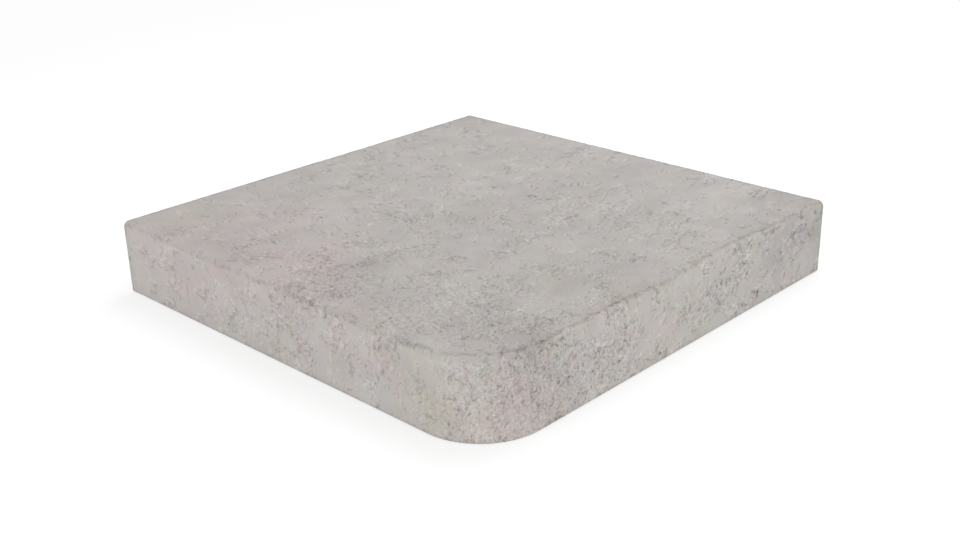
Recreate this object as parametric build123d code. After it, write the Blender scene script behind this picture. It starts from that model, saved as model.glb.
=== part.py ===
from build123d import *
import math
import os

# Outside-corner stair tread of fired clinker, made as one piece.
#
# A square walking plate turns down into a lip along its two front sides. The lip runs round
# the rounded front corner in one sweep. The two back sides are sawn joint faces, where the
# next treads meet it, and the underside is keyed with dovetail grooves for its bed of mortar.
#
# Millimetres, +Z up. The origin is at the middle of the footprint, level with the foot of the
# lip. The rounded corner points to -X -Y, and the sawn joint faces look along +X and +Y.

# Plan of the tread
TREAD_LENGTH = 325.0  # along X
TREAD_WIDTH = 325.0  # along Y
CORNER_RADIUS = 42.0  # outer face of the lip, round the front corner

# Section through the plate and its lip
NOSING_HEIGHT = 50.0  # walking face down to the foot of the lip
PLATE_THICKNESS = 15.0
LIP_THICKNESS = 18.0
ARRIS_RADIUS = 4.0  # front edge of the walking face, round the corner too
ROOT_RADIUS = 6.0  # hollow between the plate's underside and the lip's back
FOOT_RADIUS = 1.5  # both edges of the lip's foot
SAWN_EDGE_RADIUS = 0.8  # rim of the joint faces

# Dovetail keys in the underside, wider at the root than at the mouth
KEY_PITCH = 21.0
KEY_MOUTH_WIDTH = 9.0
KEY_ROOT_WIDTH = 12.0
KEY_DEPTH = 2.5
KEY_LAND = 7.0  # plain strip left beside the lip and beside the back edge

CUT_OVERRUN = 5.0  # how far every cutter passes a face that it opens
TOUCHING = 1e-4  # two lengths closer than this are the same

LEFT, RIGHT = -TREAD_LENGTH / 2, TREAD_LENGTH / 2
FRONT, BACK = -TREAD_WIDTH / 2, TREAD_WIDTH / 2
UNDERSIDE = NOSING_HEIGHT - PLATE_THICKNESS
INNER_CORNER_RADIUS = CORNER_RADIUS - LIP_THICKNESS


def corner_outline(left, front, right, back, radius):
    """Rectangle whose left front corner is rounded, as a face at height zero."""
    with BuildSketch() as sketch:
        with BuildLine():
            Polyline(
                (left, front + radius),
                (left, back),
                (right, back),
                (right, front),
                (left + radius, front),
            )
            RadiusArc((left + radius, front), (left, front + radius), radius)
        make_face()
    return sketch.sketch


def inset_of(point):
    """How far a point lies inside the outer face of the lip, seen in plan."""
    from_left, from_front = point.X - LEFT, point.Y - FRONT
    if from_left < CORNER_RADIUS and from_front < CORNER_RADIUS:
        return CORNER_RADIUS - math.hypot(CORNER_RADIUS - from_left, CORNER_RADIUS - from_front)
    return min(from_left, from_front)


def lip_edges(body, height, inset):
    """The run of edges that follows the lip at one height and one inset, corner included."""
    middles = [(edge, edge @ 0.5) for edge in body.edges()]
    level = [(edge, middle) for edge, middle in middles if abs(middle.Z - height) < TOUCHING]
    return [edge for edge, middle in level if abs(inset_of(middle) - inset) < TOUCHING]


def tread_blank():
    """Plate and lip with crisp edges: the full block less the space under the plate."""
    block = extrude(corner_outline(LEFT, FRONT, RIGHT, BACK, CORNER_RADIUS), NOSING_HEIGHT)
    pocket_plan = corner_outline(
        LEFT + LIP_THICKNESS,
        FRONT + LIP_THICKNESS,
        RIGHT + CUT_OVERRUN,
        BACK + CUT_OVERRUN,
        INNER_CORNER_RADIUS,
    )
    pocket = extrude(Pos(0, 0, -CUT_OVERRUN) * pocket_plan, UNDERSIDE + CUT_OVERRUN)
    return block - pocket


def rounded_lip(body):
    """The lip's four long edges rounded: its root, the two edges of its foot and the arris."""
    body = fillet(lip_edges(body, UNDERSIDE, LIP_THICKNESS), ROOT_RADIUS)
    body = fillet(lip_edges(body, 0, LIP_THICKNESS), FOOT_RADIUS)
    body = fillet(lip_edges(body, 0, 0), FOOT_RADIUS)
    return fillet(lip_edges(body, NOSING_HEIGHT, 0), ARRIS_RADIUS)


def key_places():
    """Where the grooves' centrelines lie across the underside, evenly about its middle."""
    first = FRONT + LIP_THICKNESS + ROOT_RADIUS + KEY_LAND
    last = BACK - KEY_LAND
    room = last - first - KEY_ROOT_WIDTH
    steps = math.floor(room / KEY_PITCH)
    start = (first + last - steps * KEY_PITCH) / 2
    return [start + step * KEY_PITCH for step in range(steps + 1)]


def key_cutter(place):
    """One dovetail groove, blind beside the lip and open at the right joint face."""
    blind_end = LEFT + LIP_THICKNESS + ROOT_RADIUS + KEY_LAND
    flare = (KEY_ROOT_WIDTH - KEY_MOUTH_WIDTH) / 2
    with BuildSketch(Plane.YZ) as section:
        with BuildLine():
            Polyline(
                (place - KEY_MOUTH_WIDTH / 2, UNDERSIDE),
                (place - KEY_MOUTH_WIDTH / 2 - flare, UNDERSIDE + KEY_DEPTH),
                (place + KEY_MOUTH_WIDTH / 2 + flare, UNDERSIDE + KEY_DEPTH),
                (place + KEY_MOUTH_WIDTH / 2, UNDERSIDE),
                close=True,
            )
        make_face()
    return Pos(blind_end, 0, 0) * extrude(section.sketch, RIGHT + CUT_OVERRUN - blind_end)


def sawn_rim(body):
    """Outer rim of the two joint faces: the edges that a hand meets, softened after sawing."""
    rim = []
    for edge in body.edges():
        middle = edge @ 0.5
        on_right = abs(middle.X - RIGHT) < TOUCHING
        on_back = abs(middle.Y - BACK) < TOUCHING
        on_top = abs(middle.Z - NOSING_HEIGHT) < TOUCHING
        if (on_right or on_back) and on_top:
            rim.append(edge)
        if on_right and on_back:
            rim.append(edge)
    return rim


def stair_tread():
    """The finished tread: blank, rounded lip, keyed underside and softened joint rim."""
    body = rounded_lip(tread_blank())
    body = body - [key_cutter(place) for place in key_places()]
    return fillet(sawn_rim(body), SAWN_EDGE_RADIUS)


os.makedirs("parts", exist_ok=True)
export_step(stair_tread(), "parts/stair_tread.step")
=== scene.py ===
import math
from typing import NamedTuple

import bpy
import numpy as np
from mathutils import Matrix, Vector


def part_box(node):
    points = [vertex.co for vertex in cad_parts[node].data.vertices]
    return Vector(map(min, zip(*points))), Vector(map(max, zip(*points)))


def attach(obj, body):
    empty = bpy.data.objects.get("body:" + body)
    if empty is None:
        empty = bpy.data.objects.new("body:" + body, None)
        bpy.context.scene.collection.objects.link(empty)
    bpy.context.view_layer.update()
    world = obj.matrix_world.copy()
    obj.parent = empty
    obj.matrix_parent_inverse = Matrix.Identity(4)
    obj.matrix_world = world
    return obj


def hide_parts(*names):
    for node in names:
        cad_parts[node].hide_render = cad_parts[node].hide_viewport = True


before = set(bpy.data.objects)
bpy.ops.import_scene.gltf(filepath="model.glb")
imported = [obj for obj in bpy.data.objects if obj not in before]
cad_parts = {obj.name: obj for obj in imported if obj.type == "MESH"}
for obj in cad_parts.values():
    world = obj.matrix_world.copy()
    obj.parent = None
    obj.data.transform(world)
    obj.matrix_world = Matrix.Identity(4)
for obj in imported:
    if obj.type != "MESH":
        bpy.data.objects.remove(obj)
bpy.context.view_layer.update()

# Outside-corner stair tread of fired clinker: one piece with its fired relief, and its studio.
# Metres, +Z up, the rounded corner towards -X -Y, the sawn joint faces at the back.

MM = 0.001

# Sizes of the tread, as its model has them
(LEFT, FRONT, FOOT), (RIGHT, BACK, WALK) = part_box("stair_tread")
CORNER_RADIUS = 42 * MM
PLATE_THICKNESS = 15 * MM
LIP_THICKNESS = 18 * MM
ARRIS_RADIUS = 4 * MM
ROOT_RADIUS = 6 * MM
FOOT_RADIUS = 1.5 * MM
KEY_PITCH = 21 * MM
KEY_MOUTH = 9 * MM
KEY_ROOT = 12 * MM
KEY_DEPTH = 2.5 * MM
KEY_LAND = 7 * MM
KEY_COUNT = 14
FIRST_KEY = -124.5 * MM  # centreline of the groove nearest the front lip
KEYS = FIRST_KEY + KEY_PITCH * np.arange(KEY_COUNT)
KEY_END = LEFT + LIP_THICKNESS + ROOT_RADIUS + KEY_LAND  # where the grooves end blind
UNDERSIDE = WALK - PLATE_THICKNESS
CORNER_X = LEFT + CORNER_RADIUS  # middle of the round corner
CORNER_Y = FRONT + CORNER_RADIUS
RIM = 0.8 * MM  # widest softening along the sawn edges

# How finely the skin is divided
CORNER_CELLS = 28  # across the round corner, each way
STRAIGHT_CELLS = 216  # along each straight side, without the last strip at the sawn edge
COARSE = 4  # the hidden inside of the lip has one column for this many outside
ARRIS_STEPS = 5
WALL_STEPS = 34
FOOT_STEPS = 2
INNER_FOOT_STEPS = 3
INNER_WALL_STEPS = 5
ROOT_STEPS = 5
RIM_STEPS = 3
RIM_TURN = np.linspace(0, math.pi / 2, RIM_STEPS + 1)
BALL_TURN = RIM_TURN[1:-1]  # round the corner between the joint faces, without its two ends
FOOT_STRIP = 3 * MM  # flat strip of the lip's foot where fine columns meet coarse ones
WELD_DISTANCE = 0.002 * MM  # points that round to the same multiple of this become one

# The fired relief: how far apart its swells lie, and how deep each goes
SWELLS = (
    (60 * MM, 0.10 * MM),  # broad waves
    (12 * MM, 0.07 * MM),  # dapple
    (5 * MM, 0.05 * MM),  # grit
)
HOLLOW_DEPTH = 0.16 * MM
HOLLOW_SIZE = 5.5 * MM
SMALL_HOLLOW_SIZE = 3 * MM
SMALL_HOLLOW_STRENGTH = 0.5
HOLLOW_CROWD_SIZE = 55 * MM  # how far apart the crowds of hollows lie
HOLLOW_CROWDING = 0.22  # how far a crowd lowers the level where hollows start
HOLLOW_START = 0.28  # the noise's level where a hollow starts
HOLLOW_FULL = 0.85  # and where it has its whole depth
WIPED_HEIGHT = 4 * MM  # the relief fades out below this

# Chips of the sawn rim, as shares of its width
RIM_USUAL = 0.75
RIM_LEAST = 0.3
CHIP_STRENGTH = 0.35
CHIP_SIZE = 4 * MM
RIM_UPRIGHT = 0.35  # down the ends of the lip
RIM_START = 2 * MM  # height above the foot where the rim has its width
BALL_NEAR, BALL_FAR = 1 * MM, 6 * MM  # from the ball corner: without chips, and as elsewhere


# The fired surface

NOISE_TABLE = 256  # random slopes in one lattice
NOISE_GAIN = 1.6  # brings the blended slopes to about -1 to 1


def lattice_noise(points, cell, seed):
    """Smooth noise, about -1 to 1: a random slope at each corner of a cubic lattice, blended
    across the cell by the quintic fade of t cubed times (6 t squared minus 15 t plus 10)."""
    rng = np.random.default_rng(seed)
    table = rng.permutation(NOISE_TABLE)
    slopes = rng.normal(size=(NOISE_TABLE, 3))
    slopes /= np.linalg.norm(slopes, axis=1, keepdims=True)
    scaled = points / cell
    floor = np.floor(scaled).astype(int)
    local = scaled - floor
    fade = local**3 * (local * (local * 6 - 15) + 10)
    total = np.zeros(len(points))
    for corner in np.ndindex(2, 2, 2):
        place = (floor + corner) % NOISE_TABLE
        pick = (table[place[:, 0]] + place[:, 1]) % NOISE_TABLE
        pick = table[(table[pick] + place[:, 2]) % NOISE_TABLE]
        share = np.prod(np.where(corner, fade, 1 - fade), axis=1)
        total += share * ((local - corner) * slopes[pick]).sum(axis=1)
    return total * NOISE_GAIN


def smooth_step(value, low, high):
    """0 below low, 1 above high, and between them an S-curve: t squared times (3 minus 2 t)."""
    t = np.clip((value - low) / (high - low), 0, 1)
    return t * t * (3 - 2 * t)


def hollows(points):
    """Share of a hollow at each point, 0 to 1: the low places of a fine noise, crowded where a
    broad noise is high."""
    broad = lattice_noise(points, HOLLOW_CROWD_SIZE, seed=11)
    fine = lattice_noise(points, HOLLOW_SIZE, seed=12)
    finer = lattice_noise(points, SMALL_HOLLOW_SIZE, seed=13)
    fine = fine + SMALL_HOLLOW_STRENGTH * finer
    return smooth_step(-fine, HOLLOW_START - HOLLOW_CROWDING * broad, HOLLOW_FULL)


def relief(points):
    """Depth of the fired relief below the nominal skin: each swell's depth times (1 plus its
    noise), and the hollows, all fading out towards the foot, which is wiped flat."""
    depth = 0.0
    for seed, (cell, deep) in enumerate(SWELLS, start=1):
        depth = depth + deep * (1 + lattice_noise(points, cell, seed))
    depth = depth + HOLLOW_DEPTH * hollows(points)
    return depth * smooth_step(points[:, 2], 0, WIPED_HEIGHT)


# Shape of the skin

def lip_path():
    """Outer face of the lip in plan, from the back joint face forward, round the corner and
    along to the right joint face: places and inward directions. The turn is a quarter circle."""
    along = CORNER_Y + (BACK - RIM - CORNER_Y) * np.linspace(1, 0, STRAIGHT_CELLS + 1)
    along = np.r_[BACK, along]
    turn = math.pi + math.pi / 2 * np.linspace(0, 1, 2 * CORNER_CELLS + 1)[1:-1]
    left = np.stack([np.full(len(along), LEFT), along], axis=1)
    bend = np.stack([np.cos(turn), np.sin(turn)], axis=1)
    corner = [CORNER_X, CORNER_Y] + CORNER_RADIUS * bend
    front = left[::-1, ::-1] + [CORNER_X - CORNER_Y, FRONT - LEFT]
    places = np.concatenate([left, corner, front])
    rightward = np.tile([1.0, 0.0], (len(left), 1))
    backward = np.tile([0.0, 1.0], (len(front), 1))
    inward = np.concatenate([rightward, -bend, backward])
    return places, inward


def outer_section():
    """Section of the visible skin from the walking face over the arris, down the wall and round
    its foot: inset, height, and the normal's outward and upward parts."""
    over = np.linspace(0, math.pi / 2, ARRIS_STEPS + 1)
    under = np.linspace(0, math.pi / 2, FOOT_STEPS + 1)
    down = np.linspace(WALK - ARRIS_RADIUS, FOOT_RADIUS, WALL_STEPS + 1)[1:-1]
    inset = np.r_[ARRIS_RADIUS * (1 - np.sin(over)), 0 * down, FOOT_RADIUS * (1 - np.cos(under))]
    height = np.r_[
        WALK - ARRIS_RADIUS * (1 - np.cos(over)),
        down,
        FOOT_RADIUS * (1 - np.sin(under)),
    ]
    outward = np.r_[np.sin(over), 1 + 0 * down, np.cos(under)]
    upward = np.r_[np.cos(over), 0 * down, -np.sin(under)]
    return inset, height, outward, upward


def inner_section():
    """Section of the hidden skin from the foot up the lip's back to the plate's underside:
    inset and height."""
    turn = np.linspace(0, math.pi / 2, INNER_FOOT_STEPS + 1)
    root = np.linspace(0, math.pi / 2, ROOT_STEPS + 1)
    up = np.linspace(FOOT_RADIUS, UNDERSIDE - ROOT_RADIUS, INNER_WALL_STEPS + 1)[1:-1]
    inset = np.r_[
        FOOT_RADIUS + FOOT_STRIP,
        LIP_THICKNESS - FOOT_RADIUS * (1 - np.sin(turn)),
        LIP_THICKNESS + 0 * up,
        LIP_THICKNESS + ROOT_RADIUS * (1 - np.cos(root)),
    ]
    height = np.r_[
        0,
        FOOT_RADIUS * (1 - np.cos(turn)),
        up,
        UNDERSIDE - ROOT_RADIUS * (1 - np.sin(root)),
    ]
    return inset, height


def carried(path, inset, height):
    """A section carried along the path: one row of points for each point of the section."""
    places, inward = path
    plan = places[None] + inset[:, None, None] * inward[None]
    tall = np.broadcast_to(height[:, None, None], plan.shape[:2] + (1,))
    return np.concatenate([plan, tall], axis=2)


def walking_grid():
    """The flat of the walking face inside the arris. Outside the round corner the grid is
    square. In the corner a square grid is laid over the quarter disc: each square ring of cells
    becomes an arc of that radius, and the place along the ring becomes the angle."""
    radius = CORNER_RADIUS - ARRIS_RADIUS
    share = np.linspace(1, 0, CORNER_CELLS + 1)
    rest = np.linspace(0, 1, STRAIGHT_CELLS + 1)[1:]
    x = np.r_[CORNER_X - radius * share, CORNER_X + (RIGHT - RIM - CORNER_X) * rest]
    y = np.r_[CORNER_Y - radius * share, CORNER_Y + (BACK - RIM - CORNER_Y) * rest]
    x, y = np.meshgrid(x, y, indexing="ij")
    left, front = np.meshgrid(share, share, indexing="ij")
    ring = np.maximum(left, front)
    slant = np.minimum(left, front) / np.maximum(ring, 1e-9)
    angle = np.where(left >= front, math.pi / 4 * slant, math.pi / 2 - math.pi / 4 * slant)
    corner = np.s_[: CORNER_CELLS + 1, : CORNER_CELLS + 1]
    x[corner] = CORNER_X - radius * ring * np.cos(angle)
    y[corner] = CORNER_Y - radius * ring * np.sin(angle)
    return np.stack([x, y, np.full(x.shape, WALK)], axis=2)


def inset_of(points):
    """How far a point lies inside the outer face of the lip, seen in plan."""
    from_left = points[..., 0] - LEFT
    from_front = points[..., 1] - FRONT
    reach = np.hypot(CORNER_RADIUS - from_left, CORNER_RADIUS - from_front)
    in_corner = (from_left < CORNER_RADIUS) & (from_front < CORNER_RADIUS)
    return np.where(in_corner, CORNER_RADIUS - reach, np.minimum(from_left, from_front))


def quads(rows, columns):
    """Faces of a grid of points given row after row."""
    spot = np.arange(rows * columns).reshape(rows, columns)
    corners = [spot[:-1, :-1], spot[1:, :-1], spot[1:, 1:], spot[:-1, 1:]]
    return np.stack(corners, axis=2).reshape(-1, 4)


FIRED, SAWN, KEYED = 0, 1, 2  # which finish a face has


class Skin:
    """Gathers patches of points and faces, to be joined where their edges meet."""

    def __init__(self):
        self.points, self.faces, self.finish, self.smooth, self.section = [], [], [], [], []
        self.count = 0

    def add(self, points, faces, finish, smooth, section=None):
        """Takes up points and the faces between them, which number the points from nought."""
        points = np.asarray(points, dtype=float).reshape(-1, 3)
        self.points.append(points)
        self.section.append(np.full(len(points), 1.0) if section is None else np.ravel(section))
        self.faces += [tuple(int(c) + self.count for c in face) for face in faces]
        self.finish += [finish] * len(faces)
        self.smooth += [smooth] * len(faces)
        self.count += len(points)

    def grid(self, points, finish, smooth=True, section=None):
        """Takes up rows of points, with a face in each mesh of the net."""
        self.add(points, quads(*points.shape[:2]), finish, smooth, section)


def sunk(points, normals):
    """The points moved in by the relief, against their normals."""
    flat = points.reshape(-1, 3)
    return (flat - normals.reshape(-1, 3) * relief(flat)[:, None]).reshape(points.shape)


def rim_radius(points, upward):
    """Softening of the sawn edge: widest along the walking face and chipped a little there,
    nothing at the foot. It is full at the ball corner, where the two joint faces meet."""
    chips = RIM_USUAL + CHIP_STRENGTH * lattice_noise(points, CHIP_SIZE, seed=21)
    near = np.hypot(points[:, 0] - (RIGHT - RIM), points[:, 1] - (BACK - RIM))
    chips = np.clip(chips + (1 - smooth_step(near, BALL_NEAR, BALL_FAR)), RIM_LEAST, 1)
    flat = RIM_UPRIGHT + (1 - RIM_UPRIGHT) * smooth_step(upward, 0, 1)
    return RIM * chips * (smooth_step(points[:, 2], 0, RIM_START) * flat)


def add_lip(skin, path):
    """The lip's outer side: its section carried along the path. Gives the points, their normals
    and how far each lies along the section, down from the middle of the arris."""
    inset, height, outward, upward = outer_section()
    lip = carried([part[1:-1] for part in path], inset, height)
    facing = -path[1][1:-1]
    level = outward[:, None, None] * facing[None]
    upright = np.broadcast_to(upward[:, None, None], (len(upward), len(facing), 1))
    normals = np.concatenate([level, upright], axis=2)
    surface = sunk(lip, normals)
    steps = np.linalg.norm(np.diff(np.stack([inset, height], axis=1), axis=0), axis=1)
    along = np.r_[0, np.cumsum(steps)] - steps[:ARRIS_STEPS].sum() / 2
    section = np.broadcast_to(along[:, None], lip.shape[:2])
    skin.grid(surface, FIRED, section=section)
    return surface, normals, section


def add_walking_face(skin, arris_start):
    """The flat of the walking face. Gives the same as the lip, its section going on inwards
    from where the arris starts."""
    walk = walking_grid()
    normals = np.zeros(walk.shape)
    normals[..., 2] = 1
    surface = sunk(walk, normals)
    section = arris_start - (inset_of(walk) - ARRIS_RADIUS)
    skin.grid(surface, FIRED, section=section)
    return surface, normals, section


def add_rim(skin, lip, walk):
    """Rim along the sawn edges: a quarter round carried along the skin's cut edge, from the
    back foot of the lip over the walking face to the right foot. Gives its rows of points."""
    lip_skin, lip_normals, lip_section = lip
    walk_skin, walk_normals, walk_section = walk
    balls = len(BALL_TURN)
    pieces = [
        (lip_skin[::-1, 0], lip_normals[::-1, 0], [0, 1, 0], lip_section[::-1, 0]),
        (walk_skin[1:, -1], walk_normals[1:, -1], [0, 1, 0], walk_section[1:, -1]),
        (
            np.repeat(walk_skin[-1:, -1], balls, axis=0),
            np.repeat(walk_normals[-1:, -1], balls, axis=0),
            np.stack([np.sin(BALL_TURN), np.cos(BALL_TURN), 0 * BALL_TURN], axis=1),
            np.repeat(walk_section[-1:, -1], balls),
        ),
        (walk_skin[-1, ::-1], walk_normals[-1, ::-1], [1, 0, 0], walk_section[-1, ::-1]),
        (lip_skin[1:, -1], lip_normals[1:, -1], [1, 0, 0], lip_section[1:, -1]),
    ]
    base = np.concatenate([piece[0] for piece in pieces])
    normal = np.concatenate([piece[1] for piece in pieces])
    out = np.concatenate([np.broadcast_to(piece[2], piece[0].shape) for piece in pieces])
    section = np.concatenate([piece[3] for piece in pieces])
    radius = rim_radius(base, normal[:, 2])[:, None]
    rows = [base]
    for angle in RIM_TURN:
        sideways = out * (RIM - radius * (1 - math.sin(angle)))
        downward = normal * radius * (1 - math.cos(angle))
        rows.append(base + sideways - downward)
    rim = np.stack(rows)
    skin.grid(rim[::-1], FIRED, section=np.tile(section, (len(rim), 1)))
    return rim


def add_hidden_lip(skin, path):
    """The lip's foot, its fine outer edge stitched to coarse columns, and the coarse skin up the
    lip's back. Gives that skin's rows."""
    places, inward = path
    count = len(places)
    picked = np.r_[0, np.arange(1, count - 1, COARSE), count - 1]
    inside = carried((places[picked], inward[picked]), *inner_section())
    fine = carried(path, np.array([FOOT_RADIUS]), np.array([0.0]))[0]
    faces = [[0, 1, count + 1, count]]
    for column in range(1, len(picked) - 2):
        first, last = picked[column], picked[column + 1]
        half = (first + last) // 2
        faces += [[spot, spot + 1, count + column] for spot in range(first, half)]
        faces += [[half, count + column + 1, count + column]]
        faces += [[spot, spot + 1, count + column + 1] for spot in range(half, last)]
    faces += [[count - 2, count - 1, count + len(picked) - 1, count + len(picked) - 2]]
    skin.add(np.concatenate([fine, inside[0]]), [face[::-1] for face in faces], KEYED, False)
    skin.grid(inside, KEYED)
    return inside


def key_section(place):
    """The dovetail about this centreline, from one edge of its mouth to the other: places
    across the underside and heights."""
    return [
        (place - KEY_MOUTH / 2, UNDERSIDE),
        (place - KEY_ROOT / 2, UNDERSIDE + KEY_DEPTH),
        (place + KEY_ROOT / 2, UNDERSIDE + KEY_DEPTH),
        (place + KEY_MOUTH / 2, UNDERSIDE),
    ]


def add_underside(skin, inside_edge):
    """The underside: one land round the keys, a land between each two, a strip along the back
    and the keys themselves, which all end blind on one line."""
    half = KEY_MOUTH / 2
    edge = [(RIGHT, KEYS[0] - half), (KEY_END, KEYS[0] - half)]
    for before, after in zip(KEYS[:-1], KEYS[1:]):
        edge += [(KEY_END, before + half), (KEY_END, after - half)]
    edge += [(KEY_END, KEYS[-1] + half), (KEY_END, BACK)]
    ring = np.concatenate([inside_edge, [(x, y, UNDERSIDE) for x, y in edge]])
    skin.add(ring, [range(len(ring))[::-1]], KEYED, False)
    for before, after in zip(KEYS[:-1], KEYS[1:]):
        strip = [
            (KEY_END, before + half, UNDERSIDE),
            (RIGHT, before + half, UNDERSIDE),
            (RIGHT, after - half, UNDERSIDE),
            (KEY_END, after - half, UNDERSIDE),
        ]
        skin.add(strip, [(3, 2, 1, 0)], KEYED, False)
    corner_x = RIGHT - RIM + RIM * np.cos(BALL_TURN)
    corner_y = BACK - RIM + RIM * np.sin(BALL_TURN)
    back_strip = [
        (KEY_END, KEYS[-1] + half, UNDERSIDE),
        (RIGHT, KEYS[-1] + half, UNDERSIDE),
        (RIGHT, BACK - RIM, UNDERSIDE),
        *((x, y, UNDERSIDE) for x, y in zip(corner_x, corner_y)),
        (RIGHT - RIM, BACK, UNDERSIDE),
        (KEY_END, BACK, UNDERSIDE),
    ]
    skin.add(back_strip, [range(len(back_strip))[::-1]], KEYED, False)
    for place in KEYS:
        right, blind = ([(x, y, z) for y, z in key_section(place)] for x in (RIGHT, KEY_END))
        skin.grid(np.array([right, blind]), KEYED, smooth=False)
        skin.add(blind, [(3, 2, 1, 0)], KEYED, False)


def add_joint_faces(skin, outline, back_count, inside):
    """The two flat joint faces and the upright between them. Each is bounded by the rim's
    outline, the lip's foot and back, and the underside. The outline's first points, back_count of
    them, lie on the back face, and the rest round the ball corner and on the right face."""
    right_start = back_count + len(BALL_TURN)
    upright = np.stack([outline[back_count - 1:right_start + 1]] * 2)
    upright[1, :, 2] = UNDERSIDE
    skin.grid(upright[::-1], SAWN)
    back_edge = outline[:back_count][::-1]
    face = np.concatenate([inside[:, 0], [(KEY_END, BACK, UNDERSIDE)], upright[1, :1], back_edge])
    skin.add(face, [range(len(face))[::-1]], SAWN, False)
    notches = [(RIGHT, y, z) for place in KEYS for y, z in key_section(place)]
    face = np.concatenate([inside[:, -1], notches, upright[1, -1:], outline[right_start:]])
    skin.add(face, [range(len(face))], SAWN, False)


def build_tread():
    """The whole tread, patch by patch."""
    skin = Skin()
    path = lip_path()
    lip = add_lip(skin, path)
    walk = add_walking_face(skin, arris_start=lip[2][0, 0])
    rim = add_rim(skin, lip, walk)
    inside = add_hidden_lip(skin, path)
    add_underside(skin, inside[-1])
    add_joint_faces(skin, rim[-1], len(lip[0]) + len(walk[0]) - 1, inside)
    return skin


def mesh_of(skin, name):
    """The gathered patches as one closed mesh, their shared edges welded."""
    points = np.concatenate(skin.points)
    section = np.concatenate(skin.section)
    spots = np.round(points / WELD_DISTANCE).astype(np.int64)
    _, first, where = np.unique(spots, axis=0, return_index=True, return_inverse=True)
    where = where.ravel()
    faces, finish, smooth = [], [], []
    for face, kind, soft in zip(skin.faces, skin.finish, skin.smooth):
        welded = [int(where[corner]) for corner in face]
        before = welded[-1:] + welded[:-1]
        welded = [spot for spot, last in zip(welded, before) if spot != last]
        if len(set(welded)) > 2:
            faces.append(welded)
            finish.append(kind)
            smooth.append(soft)
    mesh = bpy.data.meshes.new(name)
    mesh.from_pydata(points[first], [], faces)
    mesh.polygons.foreach_set("material_index", finish)
    mesh.polygons.foreach_set("use_smooth", smooth)
    mesh.attributes.new("section", "FLOAT", "POINT").data.foreach_set("value", section[first])
    mesh.update()
    return mesh


tread = bpy.data.objects.new("tread_body", mesh_of(build_tread(), "tread_body"))
bpy.context.scene.collection.objects.link(tread)
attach(tread, "root")
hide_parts("stair_tread")


# Finishes

def socket_value(colour):
    """A colour written as it looks on a screen, 0 to 255, as the linear values of a socket."""
    shares = np.array(colour) / 255
    linear = np.where(shares <= 0.04045, shares / 12.92, ((shares + 0.055) / 1.055) ** 2.4)
    return (*linear, 1)


# The tread's sides in millimetres, which the finishes work in
LEFT_MM, FRONT_MM, RIGHT_MM, BACK_MM = LEFT / MM, FRONT / MM, RIGHT / MM, BACK / MM
TREAD_SIDE = 325

LEVEL = 0.0122  # share of a mid grey's light that one screen level of 255 stands for

FIRED_TONE = (187.2, 182.2, 178.4)
SAWN_TONE = (186, 179, 171)
KEYED_TONE = (181, 173, 164)
SHEEN = 0.25  # how strongly all three finishes mirror light
SEED_STEP = (37.1, -23.3, 11.9)  # how far a pattern is moved for each step of its seed

# What a tint adds to red, green and blue, in shares of the tone, for one screen level
PINK = (0.55 * LEVEL, -0.45 * LEVEL, -0.05 * LEVEL)
OCHRE = (0.25 * LEVEL, 0.25 * LEVEL, -0.75 * LEVEL)


class Mark(NamedTuple):
    """A kind of mark on the fired face: how large it is in millimetres, by how many levels its
    dark and pale parts change the face, and how far it stands up in millimetres."""

    size: float
    dark: float = 0.0
    pale: float = 0.0
    height: float = 0.0


# The pale parts of the flakes and strokes are painted highlights, and their dark parts painted
# shade together with the marks' own dark colour
SQUIGGLES = Mark(5.5, -19.0, 11.0, 0.07)
LARGE_FLAKES = Mark(7.8, -25.0, 16.0, 0.10)
SMALL_FLAKES = Mark(4.4, -23.0, 15.0, 0.07)
STROKES = Mark(3.8, -33.0, 16.0)
PITS = Mark(3.6, dark=-34.0, height=-0.20)
PALE_GRAINS = Mark(4.4, pale=16.0, height=0.10)
CLUMPS = Mark(20, pale=11.5, height=0.08)
FINE_GRAIN = Mark(1.4, pale=15.0)
CLOUDS = Mark(60, pale=3.5)

# Levels that single places of the fired face are darker or lighter by
ARRIS_LINE_LEVEL = -16.5
END_LEVEL = -4.5  # sawn ends of the lip
CHIP_LEVEL = -9.0
RIM_LEVEL = -18.0
RIM_EASED = 5.0  # by how much the rim is lighter down the lip
FOOT_LEVEL = -8.0
CALM_LEVEL = 3.0
# Painted shade over the arris: darker within a few millimetres of its middle, where it catches
# light from above and from the side
ARRIS_PAINTED_SHADE = -2.0
CROWD_LEVEL = -1.5
# Painted light at the foot of the wall, lighter towards the foot to lift the shade the floor casts
# there
FOOT_PAINTED_LIGHT = 3.0  # at the foot of the wall, gone where FOOT_PAINTED_LIGHT_HEIGHT is
FOOT_PAINTED_LIGHT_HEIGHT = 35

# How squiggles, flakes and strokes are cut from their noises. The pairs are where a fade starts
# and ends.
SQUIGGLE_WINDINGS = 9.5
DARK_BAND = (-0.9, -0.45)
PALE_BAND = (0.45, 0.95)
ISLAND_SIZE = 0.55  # of the squiggles' own size
ISLAND_CROWDING = 0.58
ISLAND_EDGE = (0.44, 0.62)
FLAKE_CROWDING = 0.38
FLAKE_EDGE = (0.49, 0.58)
FLAKE_RIM = (0.25, 0.75)
STROKE_SQUEEZE = 0.38
STROKE_APART = 0.7  # from a dark stroke to its pale one, in millimetres
STROKE_TURNS = ((0.3, 0.5, 0.4), (0.9, -0.6, 1.7), (-0.5, 1.1, 2.6))

# Soft patches on the fired face, each a place in millimetres, a reach and an amount: where the
# marks crowd, where the face is lighter or darker, pinker and more ochre, the last three in levels.
# The lighter and darker patches are partly the face's own uneven tone and partly painted light and
# shade, such as most of the front of the lip painted lighter and most of the left wall painted
# darker
RAGGED_SIZE = 30  # of the noise that makes their edges ragged
RAGGED_STRENGTH = 0.5
PATCH_CORE = 0.1  # share of the reach where a patch has its whole amount

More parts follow.
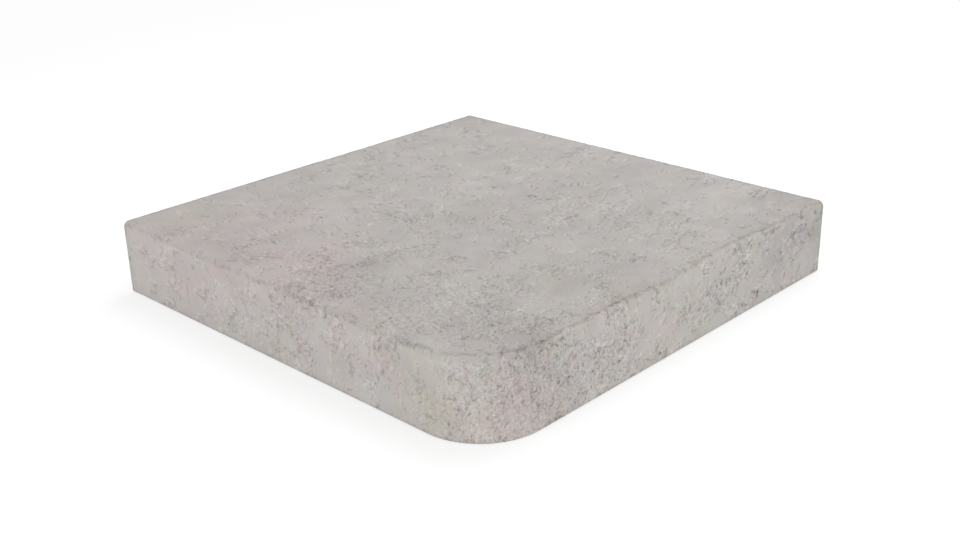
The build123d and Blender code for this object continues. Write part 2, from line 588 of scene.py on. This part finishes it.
CROWDED = (
    ((-110, -162, 25), 75, 0.45),
    ((150, -162, 35), 75, -0.3),
    ((75, -162, 30), 32, 0.1),
    ((-112, -20, 50), 48, 0.5),
    ((-162, -50, 25), 45, -0.5),
    ((-145, 85, 50), 60, -0.35),
    ((-40, -142, 50), 50, 0.25),
    ((-60, 120, 50), 70, -0.35),
    ((-10, 60, 50), 60, 0.3),
    ((-130, -90, 50), 130, 0.4),
    ((-162, 0, 25), 80, 0.2),
    ((-18, -162, 45), 40, -0.5),
    ((-162, -98, 10), 45, -0.6),
    ((150, 60, 50), 120, -0.5),
    ((-110, 140, 50), 90, -0.4),
    ((50, -100, 50), 60, 0.35),
    ((40, -20, 50), 50, 0.3),
    ((70, 155, 50), 90, -0.35),
    ((150, 15, 50), 45, -0.4),
)
# Lighter and darker patches: partly the face's own tone, partly painted light and shade
PAINTED_LIGHT_AND_TONE = (
    ((-130, -25, 50), 50, -4.5),
    ((-30, -25, 50), 90, -3.0),
    ((-120, -140, 50), 55, -5.0),
    ((-30, -140, 50), 60, -3.5),
    ((-60, 60, 50), 75, 2.5),
    ((100, -30, 50), 75, -2.5),
    ((140, -162, 30), 60, -9.5),
    ((40, -162, 25), 150, 1.4),
    ((-162, 50, 25), 120, -1.4),
    ((-162, 43, 25), 24, 5.0),
    ((-162, 18, 25), 22, -3.0),
    ((-162, -44, 25), 26, -4.0),
    ((-162, -100, 25), 36, -3.0),
    ((80, -162, 30), 35, -5.0),
    ((-50, -162, 20), 32, 4.5),
    ((-162, 15, 25), 42, -2.0),
    ((-145, 142, 50), 42, 4.0),
    ((-145, 22, 50), 35, 7.5),
    ((150, 150, 50), 55, -4.0),
    ((100, -100, 50), 40, 3.0),
    ((-60, -145, 50), 50, -2.5),
    ((-98, -20, 50), 36, -4.5),
    ((-10, -145, 50), 52, -4.5),
    ((110, 20, 50), 50, 3.5),
    ((0, -20, 50), 45, -2.0),
    ((140, -110, 50), 45, 2.5),
    ((-112, -162, 30), 40, -5.0),
    ((-25, -162, 45), 45, 3.5),
)
PINK_PATCHES = (
    ((-145, -10, 50), 50, 3.8),
    ((-95, 75, 50), 80, 2.6),
    ((-105, -105, 50), 60, -0.8),
    ((-162, 30, 15), 50, -3.0),
    ((-162, 145, 20), 60, -1.0),
    ((-162, -20, 20), 90, -0.8),
    ((60, -162, 20), 90, -1.2),
)
OCHRE_PATCHES = (
    ((-162, -110, 25), 40, 2.7),
    ((-145, -150, 20), 60, 1.5),
    ((-162, 0, 25), 150, 1.1),
    ((150, -162, 25), 60, -0.8),
    ((20, -162, 25), 45, 1.5),
    ((-30, -162, 25), 130, 1.0),
    ((-130, 140, 50), 50, 1.5),
)

# Where the dark line along the arris runs further in over the walking face, or further down the lip
# where the amount is below nought, in millimetres, and where more of it is drawn
ARRIS_LINE_SHIFTS = (
    ((-8, -162, 50), 55, -2.9),
    ((60, -162, 50), 40, 0.9),
)
ARRIS_LINE_STRETCHES = (
    ((-160, -35, 50), 34, 1.2),
    ((-160, -112, 50), 28, 0.7),
    ((-160, 24, 50), 20, 0.9),
    ((-90, -160, 50), 24, 0.5),
    ((92, -160, 50), 34, 0.5),
)


def add_step(tree, kind, inputs, output=0, **settings):
    """A new node with these inputs, each a value or another node's output. Gives its output."""
    node = tree.nodes.new(kind)
    for name, value in settings.items():
        setattr(node, name, value)
    for name, value in inputs.items():
        if isinstance(value, bpy.types.NodeSocket):
            tree.links.new(value, node.inputs[name])
        else:
            node.inputs[name].default_value = value
    return node.outputs[output]


class Finish:
    """A matte ceramic finish, put together from small steps on the tread's own place in
    millimetres."""

    def __init__(self, name):
        self.material = bpy.data.materials.new(name)
        self.material.use_nodes = True
        self.tree = self.material.node_tree
        self.shader = self.tree.nodes["Principled BSDF"]
        self.place = self.scaled(self.step("ShaderNodeTexCoord", {}, "Object"), 1 / MM)

    def step(self, kind, inputs, output=0, **settings):
        return add_step(self.tree, kind, inputs, output, **settings)

    def math(self, operation, *inputs):
        return self.step("ShaderNodeMath", dict(enumerate(inputs)), operation=operation)

    def vector(self, operation, first, second, output="Vector"):
        inputs = {0: first, 1: second}
        return self.step("ShaderNodeVectorMath", inputs, output, operation=operation)

    def scaled(self, vector, amount):
        inputs = {"Vector": vector, "Scale": amount}
        return self.step("ShaderNodeVectorMath", inputs, operation="SCALE")

    def stretched(self, scale):
        """The place scaled along its three axes. A pattern gets longer where the scale is small."""
        return self.step("ShaderNodeMapping", {"Vector": self.place, "Scale": scale})

    def sum(self, *terms):
        total = terms[0]
        for term in terms[1:]:
            total = self.math("ADD", total, term)
        return total

    def times(self, *terms):
        total = terms[0]
        for term in terms[1:]:
            total = self.math("MULTIPLY", total, term)
        return total

    def fade(self, value, low, high, start=0.0, end=1.0):
        """From start, where the value is below low, to end above high, by an S-curve."""
        inputs = {"Value": value, "From Min": low, "From Max": high, "To Min": start, "To Max": end}
        return self.step("ShaderNodeMapRange", inputs, interpolation_type="SMOOTHSTEP")

    def shifted(self, seed, place=None):
        """The place moved far off, so that two patterns of one kind differ."""
        return self.vector("ADD", place or self.place, [step * seed for step in SEED_STEP])

    def noise(self, size, seed, detail=0.0, roughness=0.5, place=None, output="Fac"):
        """Noise about zero whose largest clumps are about this size. Each further octave is
        half as large, and as strong as roughness says."""
        inputs = {
            "Vector": self.shifted(seed, place),
            "Scale": 1 / size,
            "Detail": detail,
            "Roughness": roughness,
        }
        return self.step("ShaderNodeTexNoise", inputs, output, normalize=False)

    def bent(self, size, seed, reach, ahead, aside, upright):
        """The place pushed about by as much as reach, by a noise of this size, and scaled down,
        which draws a pattern out: along the line to the rounded corner by ahead and across that
        line by aside, each at the front and at the back, and upright."""
        push = self.scaled(self.noise(size, seed, detail=1, output="Color"), reach)
        place = self.vector("ADD", self.place, push)
        along = self.vector("DOT_PRODUCT", place, (1, 1, 0), "Value")
        forwards = self.scaled((1, 1, 0), self.times(along, 0.5))
        sideways = self.vector("SUBTRACT", place, forwards)
        sideways = self.scaled(sideways, self.fade(along, 2 * FRONT_MM, 2 * BACK_MM, *aside))
        forwards = self.scaled(forwards, self.fade(along, 2 * FRONT_MM, 2 * BACK_MM, *ahead))
        place = self.vector("ADD", sideways, forwards)
        return self.vector("MULTIPLY", place, (1, 1, upright))

    def patches(self, total, spots):
        """Adds soft patches with ragged edges: the whole amount at a patch's middle, and
        nothing from its reach on."""
        ragged = self.times(self.noise(RAGGED_SIZE, seed=90, detail=1), RAGGED_STRENGTH)
        for at, reach, amount in spots:
            off = self.vector("DISTANCE", self.place, at, "Value")
            share = self.sum(self.times(off, 1 / reach), ragged)
            total = self.sum(total, self.fade(share, PATCH_CORE, 1.0, amount, 0.0))
        return total

    def grains(self, size, seed, share, radius, soft, place=None):
        """Round grains, one at most in each random cell of this size: 1 within the radius,
        fading over soft beyond it, in the share of the cells."""
        cells = {"Vector": self.shifted(seed, place), "Scale": 1 / size}
        reach = self.step("ShaderNodeTexVoronoi", cells, "Distance")
        colour = reach.node.outputs["Color"]
        chance = self.step("ShaderNodeSeparateColor", {"Color": colour}, 0)
        spot = self.fade(reach, radius / size, (radius + soft) / size, 1.0, 0.0)
        return self.times(spot, self.math("GREATER_THAN", share, chance))

    def squiggles(self, size, seed, crowd, place):
        """The swells of a noise cut into thin bands by a sine, dark and pale in turn, and left
        only on small ragged islands: shares of dark and of pale, and both as a height."""
        swell = self.times(self.noise(size, seed, detail=0.7, place=place), SQUIGGLE_WINDINGS)
        bands = self.math("SINE", swell)
        ragged = self.noise(ISLAND_SIZE * size, seed + 1, detail=1, roughness=0.7)
        islands = self.fade(self.sum(ragged, self.times(crowd, ISLAND_CROWDING)), *ISLAND_EDGE)
        dark = self.times(self.fade(bands, *DARK_BAND, 1.0, 0.0), islands)
        pale = self.times(self.fade(bands, *PALE_BAND), islands)
        return dark, pale, self.times(bands, islands)

    def flakes(self, size, seed, crowd, place, apart):
        """Thin ragged flakes, seen by their edges alone: the difference between a steep step of
        a noise here and the same step a little way off. Dark edges on one side, pale ones on the
        other, and the step as a height. The pale edges are painted highlight and the dark ones
        painted shade together with the flakes' own dark colour, as a lamp from one side would light
        a raised flake."""
        steps = []
        for shift in ((0.0, 0.0, 0.0), apart):
            aside = self.vector("ADD", place, shift)
            level = self.noise(size, seed, detail=2, roughness=0.65, place=aside)
            level = self.sum(level, self.times(crowd, FLAKE_CROWDING))
            steps.append(self.fade(level, *FLAKE_EDGE))
        edge = self.sum(steps[0], self.times(steps[1], -1.0))
        start, full = FLAKE_RIM
        return self.fade(edge, start, full), self.fade(edge, -full, -start, 1.0, 0.0), steps[0]

    def strokes(self, size, seed, share, turn, place):
        """Short dark strokes all one way, each with a pale one beside it: grains in a place that
        is turned and then squeezed along one axis. The pale stroke is a painted highlight, and the
        dark one carries painted shade with the mark's own dark colour."""
        turning = {"Vector": place, "Rotation": turn}
        turned = self.step("ShaderNodeVectorRotate", turning, rotation_type="EULER_XYZ")
        squeezed = self.vector("MULTIPLY", turned, (STROKE_SQUEEZE, 1, 1))
        dark = self.grains(size, seed, share, radius=0.36, soft=0.4, place=squeezed)
        beside = self.vector("ADD", squeezed, (0, STROKE_APART, STROKE_APART))
        return dark, self.grains(size, seed, share, radius=0.2, soft=0.6, place=beside)

    def tinted(self, tone, levels, pink, ochre):
        """The tone, lighter by these levels, with its pink and ochre."""
        share = self.sum(self.times(levels, LEVEL), 1.0)
        share = self.step("ShaderNodeCombineXYZ", {0: share, 1: share, 2: share})
        for amount, tint in ((pink, PINK), (ochre, OCHRE)):
            share = self.vector("ADD", share, self.scaled(tint, amount))
        return self.vector("MULTIPLY", share, socket_value(tone)[:3])

    def finished(self, colour, roughness, height):
        """Puts the colour, the roughness and the fine relief, in millimetres, on the shader."""
        relief_inputs = {"Height": height, "Distance": MM, "Strength": 1.0}
        normal = self.step("ShaderNodeBump", relief_inputs)
        self.tree.links.new(colour, self.shader.inputs["Base Color"])
        self.tree.links.new(roughness, self.shader.inputs["Roughness"])
        self.tree.links.new(normal, self.shader.inputs["Normal"])
        self.shader.inputs["Specular IOR Level"].default_value = SHEEN
        return self.material


def sawn_rim(f, outermost):
    """Share of the dark line along the sawn rim, and of the small chips it has lost."""
    ragged = f.fade(f.noise(7, seed=17, detail=3, roughness=0.8), -0.5, 0.2)
    rim = f.times(f.fade(outermost, RIGHT_MM - 2.6, RIGHT_MM - 1.6), ragged)
    lost = f.fade(f.noise(9, seed=19, detail=4, roughness=0.85), 0.2, 0.6)
    chipped = f.times(f.fade(outermost, RIGHT_MM - 2.5, RIGHT_MM - 0.8), lost)
    return rim, chipped


def arris_line(f, y, section):
    """Share of the dark line where the arris begins: all round the front and the corner, and in
    stretches on the left. It runs about 3 mm in from the middle of the arris on the front and
    half a millimetre below it on the left, wanders broadly and finely, and has breaks."""
    broad = f.times(f.noise(70, seed=10), -2.6)
    fine = f.times(f.noise(14, seed=9, detail=4, roughness=0.8), 1.3)
    inward = f.patches(f.fade(y, FRONT_MM + 20, FRONT_MM + 60, 3.1, -0.5), ARRIS_LINE_SHIFTS)
    off = f.math("ABSOLUTE", f.sum(section, f.sum(broad, fine), inward))
    drawn = f.patches(f.fade(y, FRONT_MM + 40, FRONT_MM + 90, 0.6, 0.05), ARRIS_LINE_STRETCHES)
    breaks = f.noise(6, seed=16, detail=3, roughness=0.8)
    return f.times(f.fade(off, 0.2, 2.3, 1.0, 0.0), f.fade(f.sum(breaks, drawn), -0.05, 0.75))


def fired_skin():
    """The fired face: pale warm grey, with a grain of every size, dark squiggles, flakes,
    strokes and pits with pale parts beside them, broad clouds and tinted patches, a dark line
    where the arris begins, and darker sawn ends, rim and foot. The pale and dark edges of the
    flakes and the pale strokes beside the dark ones are painted highlight and painted shade, with
    the marks' own dark colour. The arris has painted shade, the lower wall is painted lighter
    towards the foot, and the broad lighter and darker patches are partly painted light and shade."""
    f = Finish("fired_skin")
    x, y, z = (f.step("ShaderNodeSeparateXYZ", {0: f.place}, axis) for axis in range(3))
    outermost = f.math("MAXIMUM", x, y)

    # Across the lip: millimetres along its section, down the wall from the middle of the arris
    section = f.times(f.step("ShaderNodeAttribute", {}, "Fac", attribute_name="section"), 1 / MM)
    down = f.fade(section, -3, 2)
    in_front = f.fade(y, FRONT_MM + 2, FRONT_MM + 34, 1.0, 0.0)

    # A calm stretch on the front, below the arris
    calm = f.times(f.fade(section, 6, 16, 1.0, 0.0), down, in_front, f.fade(x, 20, 70, 1.0, 0.0))
    calm = f.times(calm, f.fade(x, -110, -80))

    # Where the marks crowd: more towards the rounded corner and on the front, less at the back
    forward = f.times(f.sum(x, y), -1 / TREAD_SIDE)
    crowd = f.sum(
        f.times(f.noise(26, seed=1, detail=2, roughness=0.65), 1.35),
        f.times(forward, 0.35),
        f.times(down, in_front, 0.3),
        f.times(calm, -0.9),
    )
    crowd = f.fade(f.patches(crowd, CROWDED), -0.15, 0.72)

    # The marks, drawn out along the line to the rounded corner and larger towards the back
    bent = f.bent(3.0, seed=4, reach=1.0, ahead=(0.5, 0.31), aside=(1.0, 0.38), upright=0.72)
    wide = f.squiggles(SQUIGGLES.size, 5, crowd, bent)
    # The flakes and strokes: painted shade and painted highlight, with the marks' own dark colour
    large = f.flakes(LARGE_FLAKES.size, 27, crowd, bent, apart=(-0.5, -0.5, -0.7))
    small = f.flakes(SMALL_FLAKES.size, 28, crowd, bent, apart=(0.48, -0.56, -0.3))
    share = f.sum(0.02, f.times(crowd, 0.33))
    strokes = [
        f.strokes(STROKES.size, seed, share, turn, bent)
        for seed, turn in enumerate(STROKE_TURNS, start=20)
    ]
    pitted = f.times(share, f.fade(forward, -0.7, 0.4, 0.25, 0.85))
    pit = f.grains(PITS.size, 7, pitted, radius=0.3, soft=0.35, place=bent)
    pale = f.grains(PALE_GRAINS.size, 8, share, radius=0.4, soft=0.5, place=bent)
    grain = f.noise(CLUMPS.size, seed=2, detail=1.5, roughness=0.7)
    fine = f.noise(FINE_GRAIN.size, seed=29, detail=1, roughness=0.6)
    fine = f.times(fine, down, in_front, crowd)
    clouds = f.noise(CLOUDS.size, seed=11, detail=1)

    # Lines, ends and edges
    rim, chipped = sawn_rim(f, outermost)
    dark_arris_line = arris_line(f, y, section)
    end = f.times(down, f.fade(outermost, RIGHT_MM - 12, RIGHT_MM - 3))
    smeared = f.fade(f.noise(9, seed=18, detail=3, roughness=0.8), -0.4, 0.4)
    foot = f.times(f.fade(z, 1.2, 3.6, 1.0, 0.0), smeared)

    # How light it is. The marks are strongest on the front, the clumps weaker down the lip
    clumps = f.sum(CLUMPS.pale, f.times(down, f.sum(f.times(in_front, 2.0), -3.0)))
    marks = f.sum(
        f.times(wide[0], SQUIGGLES.dark),
        f.times(wide[1], SQUIGGLES.pale),
        # flakes and strokes: painted shade and painted highlight, with the marks' own dark colour
        f.times(large[0], LARGE_FLAKES.dark),
        f.times(large[1], LARGE_FLAKES.pale),
        f.times(small[0], SMALL_FLAKES.dark),
        f.times(small[1], SMALL_FLAKES.pale),
        *(f.times(dark, STROKES.dark) for dark, beside in strokes),
        *(f.times(beside, STROKES.pale) for dark, beside in strokes),
        f.times(pit, PITS.dark),
        f.times(pale, PALE_GRAINS.pale),
        f.times(grain, clumps),
    )
    stronger = f.fade(x, LEFT_MM + 15, LEFT_MM + 80, 0.04, 0.13)
    force = f.sum(0.55, f.times(down, in_front, stronger))
    levels = f.sum(
        f.times(marks, force),
        f.times(fine, FINE_GRAIN.pale),
        f.times(dark_arris_line, ARRIS_LINE_LEVEL),
        f.times(end, END_LEVEL),
        f.times(chipped, CHIP_LEVEL),
        f.times(rim, f.sum(f.times(down, RIM_EASED), RIM_LEVEL)),
        f.times(foot, FOOT_LEVEL),
        f.times(calm, CALM_LEVEL),
        # painted shade over the arris
        f.fade(f.math("ABSOLUTE", section), 1.0, 4.5, ARRIS_PAINTED_SHADE, 0.0),
        f.times(clouds, CLOUDS.pale),
        f.times(crowd, CROWD_LEVEL),
        # painted light at the foot of the wall
        f.fade(z, 0, FOOT_PAINTED_LIGHT_HEIGHT, FOOT_PAINTED_LIGHT, 0.0),
    )
    # Broad patches, partly painted light and shade and partly the face's own tone
    levels = f.patches(levels, PAINTED_LIGHT_AND_TONE)

    # How it is tinted, in levels
    from_left = f.fade(x, LEFT_MM, LEFT_MM + 110, 1.0, 0.0)
    tinting = f.sum(1.0, f.times(down, 0.3))
    pink = f.sum(
        f.times(f.noise(12, seed=12, detail=1.5, roughness=0.6), tinting, 3.5),
        f.times(f.noise(50, seed=13), from_left, 3.0),
        f.times(from_left, f.fade(y, -60, 20, 1.3, 3.2)),
        f.fade(y, FRONT_MM + 2, FRONT_MM + 40, 0.4, -0.4),
        f.times(end, -4.0),
    )
    ochre = f.sum(
        f.times(f.noise(11, seed=14, detail=1.5, roughness=0.6), tinting, 3.2),
        f.times(dark_arris_line, 4.0),
        f.times(chipped, 6.0),
        -0.6,
        f.times(f.noise(45, seed=15), 1.5),
    )
    pink = f.patches(pink, PINK_PATCHES)
    ochre = f.patches(ochre, OCHRE_PATCHES)

    colour = f.tinted(FIRED_TONE, levels, pink, ochre)
    roughness = f.fade(f.sum(grain, f.times(pit, -0.5)), -1, 1, 0.95, 0.78)
    height = f.sum(
        f.times(grain, CLUMPS.height),
        f.times(wide[2], SQUIGGLES.height),
        f.times(large[2], LARGE_FLAKES.height),
        f.times(small[2], SMALL_FLAKES.height),
        f.times(pit, PITS.height),
        f.times(pale, PALE_GRAINS.height),
    )
    return f.finished(colour, roughness, f.times(height, force))


def sawn_body():
    """The sawn joint faces: the body cut open, with the blade's level marks, dark and pale grog
    of two sizes and a few pores."""
    f = Finish("sawn_body")
    level_marks = f.stretched((0.04, 0.04, 1.4))
    marks = f.noise(1.6, seed=1, detail=2, roughness=0.7, place=level_marks)
    body = f.noise(9, seed=2, detail=4, roughness=0.85)
    grog = f.grains(3.4, seed=3, share=0.45, radius=0.45, soft=0.5)
    lumps = f.grains(7.0, seed=8, share=0.3, radius=0.9, soft=0.6)
    pale = f.grains(4.0, seed=4, share=0.4, radius=0.5, soft=0.6)
    pore = f.grains(8.5, seed=5, share=0.35, radius=0.35, soft=0.4)
    levels = f.sum(
        f.times(marks, 7.0),
        f.times(body, 10.0),
        f.times(grog, -20.0),
        f.times(lumps, -12.0),
        f.times(pale, 17.0),
        f.times(pore, -45.0),
    )
    pink = f.times(f.noise(30, seed=6, detail=1), 4.0)
    ochre = f.times(f.noise(22, seed=7, detail=1), 4.0)
    colour = f.tinted(SAWN_TONE, levels, pink, ochre)
    roughness = f.fade(body, -1, 1, 0.95, 0.8)
    height = f.sum(f.times(marks, 0.05), f.times(body, 0.03), f.times(pore, -0.3))
    return f.finished(colour, roughness, height)


def keyed_back():
    """The keyed underside: the body as it left the press, with drag lines along the keys, torn
    spots and a chalky bloom."""
    f = Finish("keyed_back")
    drag = f.noise(2.2, seed=1, detail=3, roughness=0.8, place=f.stretched((0.05, 1, 1)))
    body = f.noise(11, seed=2, detail=5, roughness=0.9)
    torn = f.stretched((0.35, 1, 1))
    tears = f.grains(7, seed=3, share=0.35, radius=0.5, soft=0.8, place=torn)
    bloom = f.fade(f.noise(50, seed=4, detail=3, roughness=0.7), 0.0, 0.7)
    levels = f.sum(
        f.times(drag, 8.0),
        f.times(body, 6.0),
        f.times(tears, -14.0),
        f.times(bloom, 9.0),
    )
    pink = f.times(f.noise(60, seed=5, detail=1), 5.0)
    ochre = f.times(f.noise(35, seed=6, detail=1), 4.0)
    colour = f.tinted(KEYED_TONE, levels, pink, ochre)
    roughness = f.fade(body, -1, 1, 0.96, 0.82)
    height = f.sum(f.times(drag, 0.12), f.times(body, 0.05), f.times(tears, -0.35))
    return f.finished(colour, roughness, height)


for material in (fired_skin(), sawn_body(), keyed_back()):
    tread.data.materials.append(material)


# Studio

TABLE_WHITE = 0.90  # what the floor is to the light
SEEN_WHITE = 0.42  # what the camera sees of it, with a glow of its own
FLOOR_GLOW = 0.66
FLOOR_FADE = (0.5, 1.6)  # from here on it fades to white, in metres from the tread's middle
FLOOR_HALF = 9.0
FLOOR_GAP = 0.2 * MM
DOME_STRENGTH = 0.42

# Lamps: name, place, side of the square in metres, and watts
LAMPS = (
    ("above", (0.55, 0.1, 1.2), 1.0, 8.5),
    ("low_front", (0.3, -1.9, 0.5), 1.2, 14.0),
    ("low_left", (-1.9, 0.0, 0.5), 1.2, 16.6),
)

# Camera: its place in metres, its turns in degrees, its lens and sensor in millimetres
EYE = (-0.54845, -0.53836, 0.33267)
HEADING, PITCH, ROLL = 44.277, -22.902, 1.4225
LENS = 46.82
SENSOR_WIDTH = 36


def grey(share):
    """A grey of this share of white."""
    return (share, share, share, 1)


def make_floor():
    """A plain pale floor. To the camera it keeps the tread's shadow and fades to white a metre
    or two away. To everything else it is a matte white table."""
    material = bpy.data.materials.new("pale_floor")
    material.use_nodes = True
    tree = material.node_tree
    tree.nodes.clear()
    table = add_step(tree, "ShaderNodeBsdfDiffuse", {"Color": grey(TABLE_WHITE)})
    seen = add_step(tree, "ShaderNodeBsdfDiffuse", {"Color": grey(SEEN_WHITE)})
    glow = add_step(tree, "ShaderNodeEmission", {"Strength": FLOOR_GLOW})
    near = add_step(tree, "ShaderNodeAddShader", {0: seen, 1: glow})
    white = add_step(tree, "ShaderNodeEmission", {})
    place = add_step(tree, "ShaderNodeTexCoord", {}, "Object")
    off = add_step(tree, "ShaderNodeVectorMath", {0: place}, "Value", operation="LENGTH")
    fading = {"Value": off, "From Min": FLOOR_FADE[0], "From Max": FLOOR_FADE[1]}
    far = add_step(tree, "ShaderNodeMapRange", fading, interpolation_type="SMOOTHSTEP")
    faded = add_step(tree, "ShaderNodeMixShader", {"Fac": far, 1: near, 2: white})
    to_camera = add_step(tree, "ShaderNodeLightPath", {}, "Is Camera Ray")
    both = add_step(tree, "ShaderNodeMixShader", {"Fac": to_camera, 1: table, 2: faded})
    tree.links.new(both, tree.nodes.new("ShaderNodeOutputMaterial").inputs["Surface"])
    corners = [(-1, -1), (1, -1), (1, 1), (-1, 1)]
    points = [(FLOOR_HALF * x, FLOOR_HALF * y, FOOT) for x, y in corners]
    mesh = bpy.data.meshes.new("floor")
    mesh.from_pydata(points, [], [(0, 1, 2, 3)])
    mesh.materials.append(material)
    floor = bpy.data.objects.new("floor", mesh)
    floor.location.z = -FLOOR_GAP
    bpy.context.scene.collection.objects.link(floor)


def make_world():
    """A dim white dome for the light, and a white backdrop for the camera."""
    world = bpy.data.worlds.new("studio")
    world.use_nodes = True
    tree = world.node_tree
    tree.nodes.clear()
    dome = add_step(tree, "ShaderNodeBackground", {"Color": grey(1), "Strength": DOME_STRENGTH})
    backdrop = add_step(tree, "ShaderNodeBackground", {"Color": grey(1)})
    to_camera = add_step(tree, "ShaderNodeLightPath", {}, "Is Camera Ray")
    both = add_step(tree, "ShaderNodeMixShader", {"Fac": to_camera, 1: dome, 2: backdrop})
    tree.links.new(both, tree.nodes.new("ShaderNodeOutputWorld").inputs["Surface"])
    bpy.context.scene.world = world


def stood(side, up, back, place):
    """The matrix of a thing at this place, with these three directions as its axes."""
    axes = np.stack([side, up, back], axis=1)
    return Matrix([[*row, at] for row, at in zip(axes, place)] + [[0, 0, 0, 1]])


def make_lamp(name, place, size, power):
    """A square lamp that looks at the tread's middle."""
    lamp = bpy.data.lights.new(name, "AREA")
    lamp.size = size
    lamp.energy = power
    holder = bpy.data.objects.new(name, lamp)
    back = np.array(place) / np.linalg.norm(place)
    side = np.cross([0, 0, 1], back)
    side /= np.linalg.norm(side)
    holder.matrix_world = stood(side, np.cross(back, side), back, place)
    bpy.context.scene.collection.objects.link(holder)


def make_camera():
    """Looks the way of its heading and pitch, then turns by its roll about that line."""
    heading, pitch, roll = np.radians([HEADING, PITCH, ROLL])
    level_ahead = np.array([math.cos(heading), math.sin(heading), 0])
    ahead = level_ahead * math.cos(pitch) + [0, 0, math.sin(pitch)]
    level = np.cross(ahead, [0, 0, 1])
    level /= np.linalg.norm(level)
    down = np.cross(ahead, level)
    right = level * math.cos(roll) + down * math.sin(roll)
    up = level * math.sin(roll) - down * math.cos(roll)
    lens = bpy.data.cameras.new("camera")
    lens.lens = LENS
    lens.sensor_width = SENSOR_WIDTH
    camera = bpy.data.objects.new("camera", lens)
    camera.matrix_world = stood(right, up, -ahead, EYE)
    bpy.context.scene.collection.objects.link(camera)
    bpy.context.scene.camera = camera


make_floor()
make_world()
for lamp in LAMPS:
    make_lamp(*lamp)
make_camera()
bpy.context.scene.view_settings.view_transform = "Standard"
